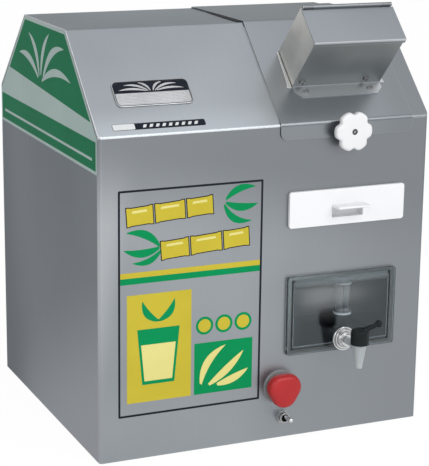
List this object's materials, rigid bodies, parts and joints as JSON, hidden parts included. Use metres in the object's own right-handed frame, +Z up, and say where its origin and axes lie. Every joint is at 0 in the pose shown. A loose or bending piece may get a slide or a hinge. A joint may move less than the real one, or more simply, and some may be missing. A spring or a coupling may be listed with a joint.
{
  "type": "electric sugarcane juicer",
  "caption": "Bench-top sugarcane juicer in a brushed steel cabinet, with a roof feed chute, a strainer drawer, a clear juice reservoir with a tap and a geared roller mill.",
  "frame": {"origin": "centre of the flat underside of the base", "axes": "+X to the user's right, +Y to the back, +Z up"},
  "size_m": [0.4003, 0.4318, 0.4949],
  "materials": {
    "brushed_steel": "vertical brushed stainless sheet",
    "polished_steel": "polished stainless and chrome plate",
    "turned_steel": "turned and fluted stainless",
    "plate_steel": "ground stainless plate",
    "gear_steel": "oiled steel",
    "bronze": "turned bronze",
    "motor_paint": "satin grey-blue enamel",
    "cowl_paint": "satin dark enamel",
    "black_plastic": "satin black moulding",
    "white_plastic": "semi-gloss white moulding",
    "clear_plastic": "clear acrylic",
    "milky_plastic": "translucent white moulding",
    "grey_plastic": "satin grey moulding",
    "red_plastic": "semi-gloss red moulding",
    "badge_metal": "satin plate with a black upper band",
    "black_vinyl": "glossy black vinyl",
    "green_vinyl": "glossy green vinyl",
    "print_vinyl": "printed vinyl on clear film"
  },
  "bodies": {
    "cabinet": {"front_panel": "brushed_steel", "back_panel": "brushed_steel", "left_panel": "brushed_steel", "right_panel": "brushed_steel", "left_roof": "brushed_steel", "right_roof": "brushed_steel", "base_plate": "brushed_steel", "bulkhead": "brushed_steel", "wet_floor": "brushed_steel", "service_cover": "brushed_steel", "bagasse_slide": "brushed_steel", "juice_pan": "brushed_steel", "drawer_shelf": "brushed_steel", "hinge_base": "polished_steel", "knob_stud": "polished_steel", "switch_base": "polished_steel", "tie_bars": "turned_steel", "turn_plate": "turned_steel", "left_cheek": "plate_steel", "right_cheek": "plate_steel", "gear_plate": "plate_steel", "bushes": "bronze", "gearbox": "motor_paint", "motor": "motor_paint", "motor_cowl": "cowl_paint", "terminal_box": "cowl_paint", "cable_gland": "black_plastic", "stop_base": "grey_plastic", "badge": "badge_metal", "strip_label": "black_vinyl", "side_label": "green_vinyl", "front_label": "print_vinyl"},
    "cover": {"cover": "brushed_steel", "hinge_leaf": "polished_steel", "feed_chute": "brushed_steel", "chute_flange": "brushed_steel", "chute_screws": "polished_steel", "lid_pin": "polished_steel"},
    "chute_lid": {"chute_lid": "brushed_steel"},
    "knob_washer": {"knob_washer": "polished_steel"},
    "clamp_knob": {"clamp_knob": "white_plastic"},
    "drawer": {"drawer": "white_plastic", "strainer": "brushed_steel"},
    "reservoir": {"reservoir": "clear_plastic", "drip_tray": "clear_plastic", "tap_flange": "polished_steel", "tap_body": "milky_plastic"},
    "tap_lever": {"tap_lever": "black_plastic"},
    "stop_plunger": {"stop_plunger": "grey_plastic"},
    "stop_head": {"stop_head": "red_plastic"},
    "switch_lever": {"switch_lever": "polished_steel"},
    "top_roller": {"top_roller": "turned_steel", "top_gear": "gear_steel"},
    "front_roller": {"front_roller": "turned_steel", "front_gear": "gear_steel"},
    "rear_roller": {"rear_roller": "turned_steel", "rear_gear": "gear_steel"}
  },
  "joints": [
    {"name": "cover_hinge", "type": "hinge", "parent": "cabinet", "child": "cover", "pos_m": [0, 0.182, 0.3531], "axis": [-1, 0, 0], "range_deg": [0, 95]},
    {"name": "lid_hinge", "type": "hinge", "parent": "cover", "child": "chute_lid", "pos_m": [0.098, -0.1656, 0.49264], "axis": [-1, 0, 0], "range_deg": [0, 150]},
    {"name": "knob_travel", "type": "slide", "parent": "cabinet", "child": "knob_washer", "axis": [0, -1, 0], "range_m": [0, 0.005]},
    {"name": "knob_turn", "type": "hinge", "parent": "knob_washer", "child": "clamp_knob", "pos_m": [0.09545, -0.19, 0.3564], "axis": [0, -1, 0], "range_deg": [0, 1440]},
    {"name": "drawer_slide", "type": "slide", "parent": "cabinet", "child": "drawer", "axis": [0, -1, 0], "range_m": [0, 0.15]},
    {"name": "reservoir_slide", "type": "slide", "parent": "cabinet", "child": "reservoir", "axis": [0, -1, 0], "range_m": [0, 0.1]},
    {"name": "tap_turn", "type": "hinge", "parent": "reservoir", "child": "tap_lever", "pos_m": [0.09695, -0.2215, 0.12], "axis": [0, 0, -1], "range_deg": [0, 90]},
    {"name": "stop_push", "type": "slide", "parent": "cabinet", "child": "stop_plunger", "axis": [0, 1, 0], "range_m": [0, 0.004], "stiffness_N_per_m": 600, "springref_m": -0.003},
    {"name": "stop_twist", "type": "hinge", "parent": "stop_plunger", "child": "stop_head", "pos_m": [0.0179, -0.1865, 0.0624], "axis": [0, 1, 0], "range_deg": [0, 30], "stiffness_Nm_per_rad": 0.05, "springref_deg": -5.73},
    {"name": "switch_tilt", "type": "hinge", "parent": "cabinet", "child": "switch_lever", "pos_m": [0.022, -0.174, 0.026], "axis": [1, 0, 0], "range_deg": [0, 12]},
    {"name": "top_roller_spin", "type": "hinge", "parent": "cabinet", "child": "top_roller", "pos_m": [0.096, -0.042, 0.3756], "axis": [1, 0, 0], "continuous": true},
    {"name": "front_roller_spin", "type": "hinge", "parent": "cabinet", "child": "front_roller", "pos_m": [0.096, -0.07853, 0.328], "axis": [1, 0, 0], "continuous": true},
    {"name": "rear_roller_spin", "type": "hinge", "parent": "cabinet", "child": "rear_roller", "pos_m": [0.096, -0.00547, 0.328], "axis": [1, 0, 0], "continuous": true}
  ],
  "couplings": [
    {"joint": "knob_travel", "follows": "knob_turn", "m_per_rad": 0.00019894},
    {"joint": "front_roller_spin", "follows": "top_roller_spin", "ratio": -1},
    {"joint": "rear_roller_spin", "follows": "top_roller_spin", "ratio": -1}
  ]
}
